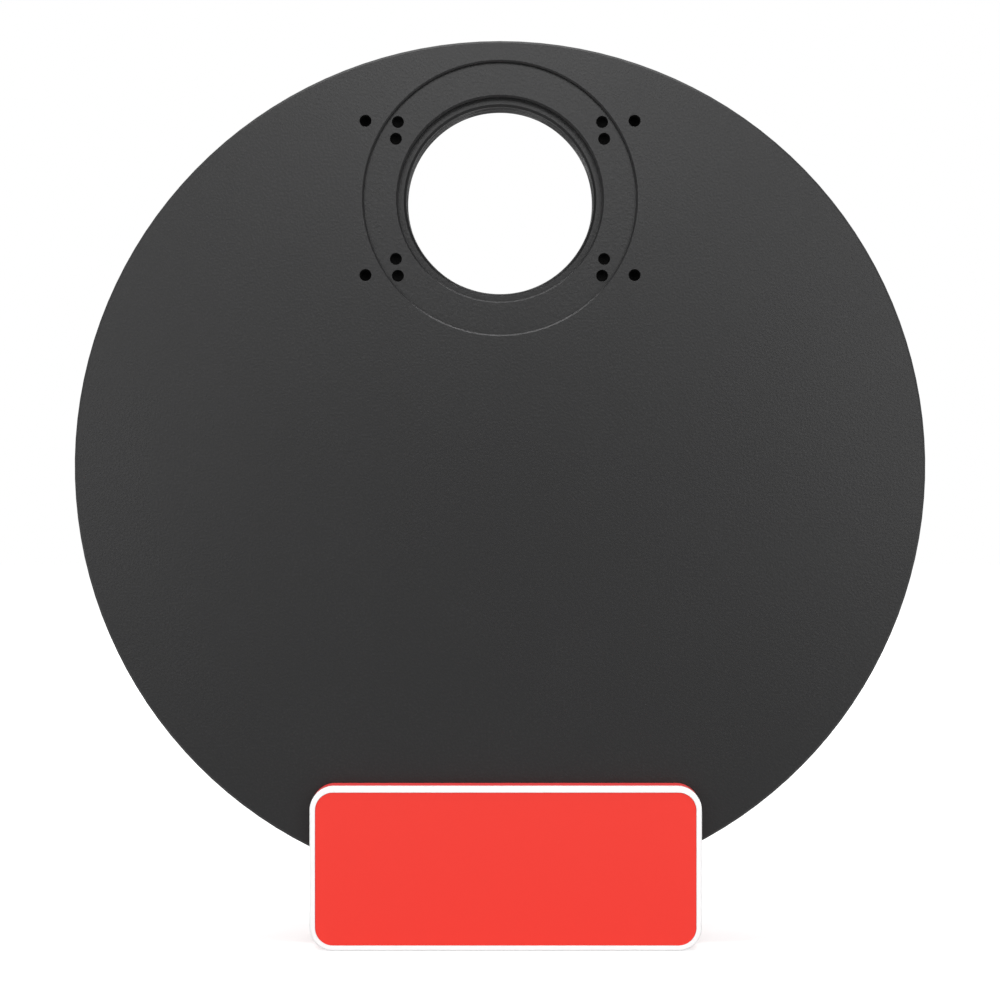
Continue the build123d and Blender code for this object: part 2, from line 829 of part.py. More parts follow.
with BuildPart() as box_lid:
    with BuildSketch(box_plane(lid_back)):
        RectangleRounded(box_width, box_height, box_corner)
    extrude(amount=lid_thickness)
    fillet(box_lid.faces().sort_by(Axis.Y)[0].edges(), lid_edge)
    with BuildSketch(box_plane(lid_front + label_recess)):
        RectangleRounded(box_width - 2 * lid_rim, box_height - 2 * lid_rim, box_corner - lid_rim)
    extrude(amount=label_recess, mode=Mode.SUBTRACT)
    with BuildSketch(box_plane(lid_back + lid_lip)):
        RectangleRounded(
            box_inner_width - 2 * sliding_gap,
            box_inner_height - 2 * sliding_gap,
            inner_corner - sliding_gap,
        )
        RectangleRounded(
            box_inner_width - 2 * sliding_gap - 2 * lip_width,
            box_inner_height - 2 * sliding_gap - 2 * lip_width,
            inner_corner - sliding_gap - lip_width,
            mode=Mode.SUBTRACT,
        )
        with Locations(*post_points):
            Circle(post_radius + sliding_gap, mode=Mode.SUBTRACT)
    extrude(amount=lid_lip)
    with Locations(box_plane(lid_front + label_recess)):
        with Locations(*post_points):
            CounterSinkHole(
                lid_screw_shank + screw_gap,
                lid_screw_head + screw_gap,
                depth=lid_thickness,
                counter_sink_angle=90,
            )
write("box_lid", box_lid.part)

with BuildPart() as lid_label:
    with BuildSketch(box_plane(lid_front + label_recess)):
        RectangleRounded(
            box_width - 2 * lid_rim - screw_gap,
            box_height - 2 * lid_rim - screw_gap,
            box_corner - lid_rim - screw_gap / 2,
        )
    extrude(amount=label_thickness)
write("lid_label", lid_label.part)

lid_screws = screws(
    box_plane,
    post_points,
    lid_front + label_recess,
    lid_back + lid_screw_reach - screw_gap,
    lid_screw_shank,
    lid_screw_head,
    lid_screw_head - lid_screw_shank,
    countersunk=True,
)
write("lid_screws", lid_screws.part)

# Motor, its plate and the pinion

ear_points = [(side * motor_ear_spacing / 2, 0) for side in (-1, 1)]

with BuildPart() as motor_plate:
    with BuildSketch(wheel_plane(plate_back)):
        with Locations(plate_centre):
            RectangleRounded(plate_width, plate_bottom - plate_top, plate_corner)
    extrude(amount=plate_thickness)
    with Locations(wheel_plane(plate_front)):
        with Locations(*plate_screw_points):
            Hole(plate_screw_shank + screw_gap, depth=plate_thickness)
    with Locations(motor_plane(plate_front)):
        Hole(motor_boss_radius + screw_gap, depth=plate_thickness)
        with Locations(*ear_points):
            Hole(ear_screw_shank + screw_gap / 2, depth=plate_thickness)
write("motor_plate", motor_plate.part)

with BuildPart() as motor_can:
    with BuildSketch(motor_plane(motor_flange_front)):
        Circle(motor_radius)
    extrude(amount=motor_flange_front + motor_front)
    fillet(motor_can.faces().sort_by(Axis.Y)[0].edges(), motor_can_edge)
    with BuildSketch(motor_plane(plate_front)):
        Circle(motor_radius)
        SlotCenterToCenter(motor_ear_spacing, 2 * motor_ear_radius)
    extrude(amount=motor_flange)
    with BuildSketch(motor_plane(plate_front + motor_boss_height)):
        Circle(motor_boss_radius)
    extrude(amount=motor_boss_height)
    with Locations(rear_facing(motor_plane(plate_front + motor_boss_height))):
        Hole(shaft_radius + shaft_running_gap, depth=motor_boss_height + plate_front - shaft_front)
    with Locations(motor_plane(motor_flange_front)):
        with Locations(*ear_points):
            Hole(ear_screw_shank + screw_gap, depth=motor_flange)
write("motor_can", motor_can.part)

# The pins run straight from the motor's terminal into a socket on the board's edge.
terminal_front = board_front - socket_height / 2 - terminal_height / 2
with BuildPart() as motor_terminal:
    with BuildSketch(motor_plane(terminal_front + terminal_height)):
        with Locations((motor_radius + terminal_length, 0)):
            Rectangle(2 * terminal_length, terminal_width, align=(Align.MAX, Align.CENTER))
        Circle(motor_radius, mode=Mode.SUBTRACT)
    extrude(amount=terminal_height)
write("motor_terminal", motor_terminal.part)

with BuildPart() as motor_socket:
    with BuildSketch(wheel_plane(board_front)):
        with Locations((board_left + socket_inset, -motor_drop)):
            Rectangle(socket_length, terminal_width, align=(Align.MIN, Align.CENTER))
    extrude(amount=socket_height)
write("motor_socket", motor_socket.part)

terminal_right = motor_x + motor_radius + terminal_length
pin_plane = Plane(
    origin=(terminal_right, board_front - socket_height / 2, -pocket_circle - motor_drop),
    x_dir=(0, 0, 1),
    z_dir=(1, 0, 0),
)
with BuildPart() as motor_pins:
    with BuildSketch(pin_plane):
        with GridLocations(pin_pitch, 0, pin_count, 1):
            Rectangle(pin_side, pin_side)
    extrude(amount=board_left + socket_inset - terminal_right)
write("motor_pins", motor_pins.part)

motor_screws = screws(
    motor_plane,
    ear_points,
    motor_flange_front,
    plate_back,
    ear_screw_shank,
    ear_screw_head,
    ear_screw_head_height,
)
write("motor_screws", motor_screws.part)

plate_screws = screws(
    wheel_plane,
    plate_screw_points,
    plate_front,
    plate_back + plate_screw_reach - screw_gap,
    plate_screw_shank,
    plate_screw_head,
    plate_screw_head_height,
)
write("plate_screws", plate_screws.part)

with BuildPart() as motor_shaft:
    with BuildSketch(motor_plane(pinion_back + shaft_end)):
        Circle(shaft_radius)
    extrude(amount=pinion_back + shaft_end - shaft_front - shaft_end_play)
write("motor_shaft", motor_shaft.part)

with BuildPart() as drive_pinion:
    with BuildSketch(motor_plane(pinion_back)):
        add(pinion_outline)
        Circle(shaft_radius, mode=Mode.SUBTRACT)
    extrude(amount=pinion_width)
write("drive_pinion", drive_pinion.part)

# Control board

with BuildPart() as control_board:
    with BuildSketch(wheel_plane(board_back)):
        with Locations(board_centre):
            RectangleRounded(board_right - board_left, board_bottom - board_top, board_corner)
    extrude(amount=board_thickness)
    with Locations(wheel_plane(board_front)):
        with Locations(*board_screw_points):
            Hole(board_screw_shank + screw_gap, depth=board_thickness)
write("control_board", control_board.part)

board_screws = screws(
    wheel_plane,
    board_screw_points,
    board_front,
    board_back + board_screw_reach,
    board_screw_shank,
    board_screw_head,
    board_screw_head_height,
)
write("board_screws", board_screws.part)

with BuildPart() as board_chips:
    for (x, y), size, height in chips:
        with BuildSketch(wheel_plane(board_front)):
            with Locations((board_centre[0] + x, board_centre[1] + y)):
                Rectangle(*size)
        extrude(amount=height)
write("board_chips", board_chips.part)

with BuildPart() as hall_sensor:
    with BuildSketch(wheel_plane(board_back + sensor_height)):
        with Locations((0, -magnet_circle)):
            Rectangle(*sensor_size)
    extrude(amount=sensor_height)
write("hall_sensor", hall_sensor.part)

with BuildPart() as usb_socket:
    with BuildSketch(usb_plane_right):
        SlotOverall(usb_width, usb_height)
    extrude(amount=-usb_length)
    with BuildSketch(usb_plane_right):
        SlotOverall(usb_width - 2 * usb_shell, usb_height - 2 * usb_shell)
    extrude(amount=-usb_length + usb_shell, mode=Mode.SUBTRACT)
    with BuildSketch(usb_plane_right.offset(-usb_length + usb_tongue_length)):
        Rectangle(usb_tongue[1], usb_tongue[0])
    extrude(amount=-usb_tongue_length)
write("usb_socket", usb_socket.part)
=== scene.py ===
import math
import bmesh
import bpy
import numpy as np
from mathutils import Matrix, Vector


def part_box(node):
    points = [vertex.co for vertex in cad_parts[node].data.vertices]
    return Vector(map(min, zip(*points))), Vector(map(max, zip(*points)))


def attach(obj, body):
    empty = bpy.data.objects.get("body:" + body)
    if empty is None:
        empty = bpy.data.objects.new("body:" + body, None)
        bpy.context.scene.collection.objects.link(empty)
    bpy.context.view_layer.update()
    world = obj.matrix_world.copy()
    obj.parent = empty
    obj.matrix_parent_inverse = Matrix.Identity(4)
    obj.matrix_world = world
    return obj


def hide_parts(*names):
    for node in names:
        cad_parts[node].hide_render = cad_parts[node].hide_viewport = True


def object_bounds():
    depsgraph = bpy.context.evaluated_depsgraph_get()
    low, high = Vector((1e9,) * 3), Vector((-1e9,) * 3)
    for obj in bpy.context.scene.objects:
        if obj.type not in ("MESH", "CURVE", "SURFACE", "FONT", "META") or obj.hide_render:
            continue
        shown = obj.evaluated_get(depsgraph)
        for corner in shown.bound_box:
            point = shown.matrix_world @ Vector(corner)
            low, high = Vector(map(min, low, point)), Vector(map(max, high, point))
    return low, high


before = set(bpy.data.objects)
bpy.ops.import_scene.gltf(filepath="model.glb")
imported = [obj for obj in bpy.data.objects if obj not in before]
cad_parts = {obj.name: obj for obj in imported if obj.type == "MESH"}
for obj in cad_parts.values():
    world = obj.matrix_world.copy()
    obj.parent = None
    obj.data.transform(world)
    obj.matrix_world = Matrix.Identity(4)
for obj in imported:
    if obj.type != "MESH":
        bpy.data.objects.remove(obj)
cadBounds = [list(corner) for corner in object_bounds()]
mm = 0.001

# Where the main pieces lie, from the frame. Every axis of rotation is parallel to Y.
coverLow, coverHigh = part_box("front_cover")
rearLow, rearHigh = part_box("rear_housing")
ringLow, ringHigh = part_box("scope_ring")
wheelCentre = ((rearLow[0] + rearHigh[0]) / 2, (rearLow[2] + rearHigh[2]) / 2)
faceY = coverLow[1]
floorZ = cadBounds[0][2]
portAxis = (0, 0)
pocketCircle = -wheelCentre[1]
plateFront = 7.8 * mm  # the wheel's plate, in which the stations are
plateBack = 12.3 * mm
stations = 7
print("frame loaded:", len(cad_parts), "nodes")

# the studio: camera, floor, soft lights and a white backdrop
studio = {
    "cameraDistance": 0.500,
    "cameraHeight": -0.0752,
    "widthAtFace": 0.24894,  # metres across the picture at the case's face
    "sensorWidth": 36.0,
    "floorRadius": 3.0,
    "floorGrey": 0.4,
    "floorGlow": 0.74,
    "glowSpread": (0.30, 0.80),  # from here to here the floor's glow rises to 1
    "ambient": 0.20,
    "aim": (0.0, 0.0, -0.07),
    # each lamp's place, width and depth in metres, and power in watts
    "lamps": {
        "keyLight": ((0.0, -1.145, 0.43), (0.50, 0.50), 5.5),
        "leftLight": ((-0.53, -1.13, 0.06), (0.50, 0.50), 3.0),
        "rightLight": ((0.53, -1.13, 0.10), (0.50, 0.50), 3.9),
        "topLight": ((-0.05, -0.08, 1.05), (1.40, 0.14), 16.0),
        "rimLight": ((0.0, 0.25, 1.08), (1.20, 0.20), 1.5),
        "backLight": ((0.12, 1.145, 0.45), (0.60, 0.60), 6.5),
        "backSideLight": ((-0.60, 1.05, 0.15), (0.50, 0.50), 3.0),
    },
}


# A new node of a shader tree, with its settings.
def nodeOf(tree, kind, **values):
    node = tree.nodes.new(kind)
    for key, value in values.items():
        setattr(node, key, value)
    return node


# A rectangular lamp that faces the aim.
def softLight(name, place, size, power):
    lamp = bpy.data.lights.new(name, "AREA")
    lamp.shape = "RECTANGLE"
    lamp.size, lamp.size_y = size
    lamp.energy = power
    lampObject = bpy.data.objects.new(name, lamp)
    bpy.context.scene.collection.objects.link(lampObject)
    lampObject.location = place
    # turned by its distance forward about X, then by its distance aside about Y,
    # so that its width stays level
    away = np.array(place) - np.array(studio["aim"])
    lampObject.rotation_mode = "YXZ"
    lampObject.rotation_euler = (
        math.atan2(-away[1], away[2]), math.atan2(away[0], math.hypot(away[1], away[2])), 0)
    return lampObject


def seenByEye(tree):
    # 1 for camera, glossy and transmission rays, 0 for the rest
    path = nodeOf(tree, "ShaderNodeLightPath")
    first = nodeOf(tree, "ShaderNodeMath", operation="MAXIMUM")
    second = nodeOf(tree, "ShaderNodeMath", operation="MAXIMUM")
    tree.links.new(path.outputs["Is Camera Ray"], first.inputs[0])
    tree.links.new(path.outputs["Is Glossy Ray"], first.inputs[1])
    tree.links.new(first.outputs[0], second.inputs[0])
    tree.links.new(path.outputs["Is Transmission Ray"], second.inputs[1])
    return second.outputs[0]


# The camera looks along Y, with a lens of sensorWidth * cameraDistance / widthAtFace, and the world
# is ambient for the surfaces and 1 for the eye.
def buildStudio():
    scene = bpy.context.scene
    scene.view_settings.view_transform = "Standard"
    lens = bpy.data.cameras.new("viewCamera")
    lens.sensor_width = studio["sensorWidth"]
    lens.lens = studio["sensorWidth"] * studio["cameraDistance"] / studio["widthAtFace"]
    lens.clip_start = 0.01
    camera = bpy.data.objects.new("viewCamera", lens)
    scene.collection.objects.link(camera)
    camera.location = (0, faceY - studio["cameraDistance"], studio["cameraHeight"])
    camera.rotation_euler = (math.pi / 2, 0, 0)
    scene.camera = camera

    world = bpy.data.worlds.new("paleRoom")
    scene.world = world
    world.use_nodes = True
    tree = world.node_tree
    tree.nodes.clear()
    out = nodeOf(tree, "ShaderNodeOutputWorld")
    backdrop = nodeOf(tree, "ShaderNodeBackground")
    mix = nodeOf(tree, "ShaderNodeMix", data_type="FLOAT")
    mix.inputs[2].default_value = studio["ambient"]
    mix.inputs[3].default_value = 1.0
    tree.links.new(seenByEye(tree), mix.inputs[0])
    tree.links.new(mix.outputs[0], backdrop.inputs["Strength"])
    tree.links.new(backdrop.outputs[0], out.inputs[0])
    backdrop.inputs["Color"].default_value = (1, 1, 1, 1)

    # the floor: a flat disc of rings, r from 0 to floorRadius, at the part's foot
    theta = np.linspace(0, 2 * math.pi, 64, endpoint=False)
    radii = np.array([1e-4, 0.5, 1.0])[:, None] * studio["floorRadius"]
    points = np.stack([radii * np.cos(theta), radii * np.sin(theta), np.full((3, 64), floorZ)], -1)
    floor = pieceFromGrids("studioFloor", [(points, False)])
    floor.data.materials.append(floorMaterial())
    for name, (place, size, power) in studio["lamps"].items():
        softLight(name, place, size, power)


# A matt floor with a glow that only the eye sees. It rises by a smooth step from floorGlow to 1
# as the distance from the origin goes through glowSpread.
def floorMaterial():
    material = bpy.data.materials.new("paleFloor")
    material.use_nodes = True
    tree = material.node_tree
    tree.nodes.clear()
    out = nodeOf(tree, "ShaderNodeOutputMaterial")
    matt = nodeOf(tree, "ShaderNodeBsdfDiffuse")
    glow = nodeOf(tree, "ShaderNodeEmission")
    both = nodeOf(tree, "ShaderNodeAddShader")
    grey = studio["floorGrey"]
    matt.inputs["Color"].default_value = (grey, grey, grey, 1)
    level = nodeOf(tree, "ShaderNodeMath", operation="MULTIPLY")
    place = nodeOf(tree, "ShaderNodeTexCoord")
    distance = nodeOf(tree, "ShaderNodeVectorMath", operation="LENGTH")
    spread = nodeOf(tree, "ShaderNodeMapRange", interpolation_type="SMOOTHSTEP")
    nearEdge, farEdge = studio["glowSpread"]
    spread.inputs["From Min"].default_value = nearEdge
    spread.inputs["From Max"].default_value = farEdge
    spread.inputs["To Min"].default_value = studio["floorGlow"]
    tree.links.new(place.outputs["Object"], distance.inputs[0])
    tree.links.new(distance.outputs["Value"], spread.inputs["Value"])
    tree.links.new(spread.outputs["Result"], level.inputs[1])
    tree.links.new(seenByEye(tree), level.inputs[0])
    tree.links.new(level.outputs[0], glow.inputs["Strength"])
    tree.links.new(matt.outputs[0], both.inputs[0])
    tree.links.new(glow.outputs[0], both.inputs[1])
    tree.links.new(both.outputs[0], out.inputs["Surface"])
    return material


# Surfaces. A grid holds a point for each row and column, and columns run once round.
# closed says that the last row meets the first again, as on a ring's section.
def pieceFromGrids(name, grids, sharpAngle=35.0):
    allPoints = []
    allQuads = []
    start = 0
    for points, closed in grids:
        rows, columns = points.shape[:2]
        index = np.arange(rows * columns).reshape(rows, columns) + start
        index = np.hstack([index, index[:, :1]])
        if closed:
            index = np.vstack([index, index[:1]])
        corners = (index[:-1, :-1], index[1:, :-1], index[1:, 1:], index[:-1, 1:])
        allQuads.append(np.stack(corners, -1).reshape(-1, 4))
        allPoints.append(points.reshape(-1, 3))
        start += rows * columns
    mesh = bpy.data.meshes.new(name)
    mesh.from_pydata(np.concatenate(allPoints).tolist(), [], np.concatenate(allQuads).tolist())
    shape = bmesh.new()
    shape.from_mesh(mesh)
    bmesh.ops.remove_doubles(shape, verts=shape.verts, dist=1e-7)
    bmesh.ops.recalc_face_normals(shape, faces=shape.faces)
    shape.to_mesh(mesh)
    shape.free()
    mesh.shade_smooth()
    mesh.set_sharp_from_angle(angle=math.radians(sharpAngle))
    piece = bpy.data.objects.new(name, mesh)
    bpy.context.scene.collection.objects.link(piece)
    return piece


# Points about an axis along Y: x = cx + r sin(t), y = depth, z = cz + r cos(t).
def aroundY(radius, depth, theta, centre):
    x = centre[0] + radius * np.sin(theta)
    z = centre[1] + radius * np.cos(theta)
    return np.stack([x, depth, z], -1)


# A turned form: the points about the axis for each r and y of a section.
def turned(section, centre, columns):
    theta = np.linspace(0, 2 * math.pi, columns, endpoint=False)
    radius = np.array([row[0] for row in section])[:, None]
    depth = np.array([row[1] for row in section])[:, None] + 0 * theta
    return aroundY(radius, depth, theta, centre)


# A threaded sleeve for a hole: its outer wall is plain, and its inner radius is
# r = outer - (outer - crest) * (0.04 + 0.96 w f), with w = |2 frac(y / pitch + t / 2 pi) - 1| and
# f fading to 0 at both ends over 0.6 of the pitch.
def threadedSleeve(outer, crest, pitch, low, high, centre, columns, rowsPerTurn=8):
    theta = np.linspace(0, 2 * math.pi, columns, endpoint=False)
    rows = int(round((high - low) / pitch * rowsPerTurn)) + 1
    y = np.linspace(low, high, rows)[:, None]
    wave = np.abs(2 * (((y - low) / pitch + theta / (2 * math.pi)) % 1.0) - 1)
    fade = np.clip(np.minimum(y - low, high - y) / (0.6 * pitch), 0, 1)
    radius = outer - (outer - crest) * (0.04 + 0.96 * wave * fade)
    walls = np.concatenate([radius, np.full((2, columns), outer)])
    ends = [np.full((1, columns), high), np.full((1, columns), low)]
    depths = np.concatenate([y + 0 * theta, *ends])
    return aroundY(walls, depths, theta, centre)


# A blind tapped hole as one closed skin: the outer wall from the axis behind the drill's cone to the
# mouth, the thread back from the mouth to high, and a straight cone to the axis at high + 0.95 cone.
def tappedHole(outer, crest, pitch, low, high, cone, centre, columns, rowsPerTurn):
    sleeve = threadedSleeve(outer, crest, pitch, low, high, centre, columns, rowsPerTurn)[:-2]
    ends = turned(((0.0, high + cone), (outer, high + cone), (outer, low)), centre, columns)
    tip = turned(((0.0, high + cone * 0.95),), centre, columns)
    return np.concatenate([ends, sleeve, tip])


# A knurled form: a turned form whose marked rows lie lower by depth * |2 frac(n t / 2 pi) - 1|.
def knurled(section, marked, depth, ridges, centre, columns):
    theta = np.linspace(0, 2 * math.pi, columns, endpoint=False)
    wave = np.abs(2 * ((ridges * theta / (2 * math.pi)) % 1.0) - 1)
    lowered = [1.0 if row in marked else 0.0 for row in range(len(section))]
    cut = depth * np.array(lowered)[:, None] * wave
    grid = turned(section, centre, columns)
    grid[..., 0] -= cut * np.sin(theta)
    grid[..., 2] -= cut * np.cos(theta)
    return grid


# A bar along X: the section at both ends, closed at poles, with y = cy + section y and
# z = cz + section z.
def barAlongX(section, low, high, centre):
    section = np.array(section)
    rows = []
    for x, outline in ((low, 0 * section), (low, section), (high, section), (high, 0 * section)):
        y, z = outline.T
        rows.append(np.stack([0 * y + x, centre[0] + y, centre[1] + z], -1))
    return np.stack(rows)


# A screw: a turned skin from the shank's tip to the head's top, then a round mouth 1.22 socket
# widths across, a hexagonal socket with r = width / 2 / cos((t mod 60) - 30 degrees), and a
# drilled cone below it.
def socketScrew(profile, width, depth, centre, turn, columns):
    theta = np.linspace(0, 2 * math.pi, columns, endpoint=False)
    hexagon = width / 2 / np.cos((theta + turn) % (math.pi / 3) - math.pi / 6)
    top = profile[-1][1]
    radii = [0 * theta + radius for radius, y in profile]
    radii += [0 * theta + 0.61 * width, hexagon, hexagon, 0 * theta]
    depths = [y for radius, y in profile]
    depths += [top, top - 0.06 * width, top - depth, top - depth - 0.2 * width]
    radii = np.array(radii)
    depths = np.array(depths)[:, None] + 0 * theta
    return aroundY(radii, depths, theta, centre)


# Places on a circle, as (x, z), at angles in degrees from +X.
def onCircle(centre, radius, angles):
    turns = np.radians(angles)
    return np.stack([centre[0] + radius * np.cos(turns), centre[1] + radius * np.sin(turns)], -1)


# The centre of station i of the wheel, as (x, z), at a distance from the wheel's axis.
def stationCentre(i, distance, turn=0.0):
    angle = 2 * math.pi * i / stations + turn
    return wheelCentre[0] - distance * math.sin(angle), wheelCentre[1] + distance * math.cos(angle)


# Materials
def groupOf(name, inputs, outputs):
    tree = bpy.data.node_groups.new(name, "ShaderNodeTree")
    for label, value in inputs.items():
        socket = tree.interface.new_socket(
            name=label, in_out="INPUT", socket_type="NodeSocketFloat")
        socket.default_value = value
    for label, kind in outputs.items():
        tree.interface.new_socket(name=label, in_out="OUTPUT", socket_type=kind)
    return tree, nodeOf(tree, "NodeGroupInput"), nodeOf(tree, "NodeGroupOutput")


def blastedGrain():
    # fine pits of bead blasting: two sizes of noise on Object coordinates, about 0 in the mean
    tree, given, result = groupOf(
        "blastedGrain", {"Size": 0.35, "Depth": 1.0},
        {"Shade": "NodeSocketFloat", "Height": "NodeSocketFloat"},
    )
    place = nodeOf(tree, "ShaderNodeTexCoord")
    perMetre = nodeOf(tree, "ShaderNodeMath", operation="DIVIDE")
    perMetre.inputs[0].default_value = 1000.0
    fine = nodeOf(tree, "ShaderNodeTexNoise")
    fine.inputs["Detail"].default_value = 3.0
    broad = nodeOf(tree, "ShaderNodeTexNoise")
    broad.inputs["Scale"].default_value = 40.0
    broad.inputs["Detail"].default_value = 2.0
    spread = nodeOf(tree, "ShaderNodeMapRange")
    spread.inputs["To Min"].default_value = -1.0
    spread.inputs["To Max"].default_value = 1.0
    blend = nodeOf(tree, "ShaderNodeMath", operation="MULTIPLY_ADD")
    blend.inputs[1].default_value = 0.25
    shade = nodeOf(tree, "ShaderNodeMath", operation="MULTIPLY")
    tree.links.new(given.outputs["Size"], perMetre.inputs[1])
    tree.links.new(perMetre.outputs[0], fine.inputs["Scale"])
    tree.links.new(place.outputs["Object"], fine.inputs["Vector"])
    tree.links.new(place.outputs["Object"], broad.inputs["Vector"])
    tree.links.new(broad.outputs[0], blend.inputs[0])
    tree.links.new(fine.outputs[0], blend.inputs[2])
    tree.links.new(blend.outputs[0], spread.inputs["Value"])
    tree.links.new(spread.outputs[0], shade.inputs[0])
    tree.links.new(given.outputs["Depth"], shade.inputs[1])
    tree.links.new(shade.outputs[0], result.inputs["Shade"])
    tree.links.new(fine.outputs[0], result.inputs["Height"])
    spread.inputs["From Min"].default_value = 0.25
    spread.inputs["From Max"].default_value = 1.0
    return tree


def edgeMask():
    # 1 on sharp edges, 0 on flats: how far a rounded normal turns from the true one
    tree, given, result = groupOf("edgeMask", {"Radius": 0.3}, {"Mask": "NodeSocketFloat"})
    metres = nodeOf(tree, "ShaderNodeMath", operation="MULTIPLY")
    metres.inputs[1].default_value = mm
    rounded = nodeOf(tree, "ShaderNodeBevel", samples=4)
    true = nodeOf(tree, "ShaderNodeNewGeometry")
    dot = nodeOf(tree, "ShaderNodeVectorMath", operation="DOT_PRODUCT")
    mask = nodeOf(tree, "ShaderNodeMapRange")
    mask.inputs["From Min"].default_value = 0.995
    mask.inputs["From Max"].default_value = 0.85
    tree.links.new(given.outputs["Radius"], metres.inputs[0])
    tree.links.new(metres.outputs[0], rounded.inputs["Radius"])
    tree.links.new(rounded.outputs["Normal"], dot.inputs[0])
    tree.links.new(true.outputs["Normal"], dot.inputs[1])
    tree.links.new(dot.outputs["Value"], mask.inputs["Value"])
    tree.links.new(mask.outputs[0], result.inputs["Mask"])
    return tree


def handlingMarks():
    # faint smears a few centimetres wide that change only the gloss
    tree, given, result = groupOf("handlingMarks", {"Amount": 0.05}, {"Gloss": "NodeSocketFloat"})
    place = nodeOf(tree, "ShaderNodeTexCoord")
    cloud = nodeOf(tree, "ShaderNodeTexNoise")
    cloud.inputs["Scale"].default_value = 28.0
    cloud.inputs["Detail"].default_value = 5.0
    cloud.inputs["Distortion"].default_value = 0.8
    centred = nodeOf(tree, "ShaderNodeMath", operation="SUBTRACT")
    centred.inputs[1].default_value = 0.5
    scaled = nodeOf(tree, "ShaderNodeMath", operation="MULTIPLY")
    tree.links.new(place.outputs["Object"], cloud.inputs["Vector"])
    tree.links.new(cloud.outputs[0], centred.inputs[0])
    tree.links.new(centred.outputs[0], scaled.inputs[0])
    tree.links.new(given.outputs["Amount"], scaled.inputs[1])
    tree.links.new(scaled.outputs[0], result.inputs["Gloss"])
    return tree


def turningMarks():
    # rings left by a lathe tool: noise on the distance from the wheel's axis
    tree, given, result = groupOf("turningMarks", {"Spacing": 0.25}, {"Height": "NodeSocketFloat"})
    place = nodeOf(tree, "ShaderNodeTexCoord")
    centred = nodeOf(tree, "ShaderNodeMapping")
    centred.inputs["Location"].default_value = (-wheelCentre[0], 0, -wheelCentre[1])
    flat = nodeOf(tree, "ShaderNodeVectorMath", operation="MULTIPLY")
    flat.inputs[1].default_value = (1, 0, 1)
    distance = nodeOf(tree, "ShaderNodeVectorMath", operation="LENGTH")
    perMetre = nodeOf(tree, "ShaderNodeMath", operation="DIVIDE")
    perMetre.inputs[0].default_value = 1000.0
    rings = nodeOf(tree, "ShaderNodeTexNoise", noise_dimensions="1D")
    rings.inputs["Detail"].default_value = 2.0
    tree.links.new(place.outputs["Object"], centred.inputs["Vector"])
    tree.links.new(centred.outputs[0], flat.inputs[0])
    tree.links.new(flat.outputs[0], distance.inputs[0])
    tree.links.new(distance.outputs["Value"], rings.inputs["W"])
    tree.links.new(given.outputs["Spacing"], perMetre.inputs[1])
    tree.links.new(perMetre.outputs[0], rings.inputs["Scale"])
    tree.links.new(rings.outputs[0], result.inputs["Height"])
    return tree


shared = {
    "grain": blastedGrain(),
    "edges": edgeMask(),
    "marks": handlingMarks(),
    "turning": turningMarks(),
}


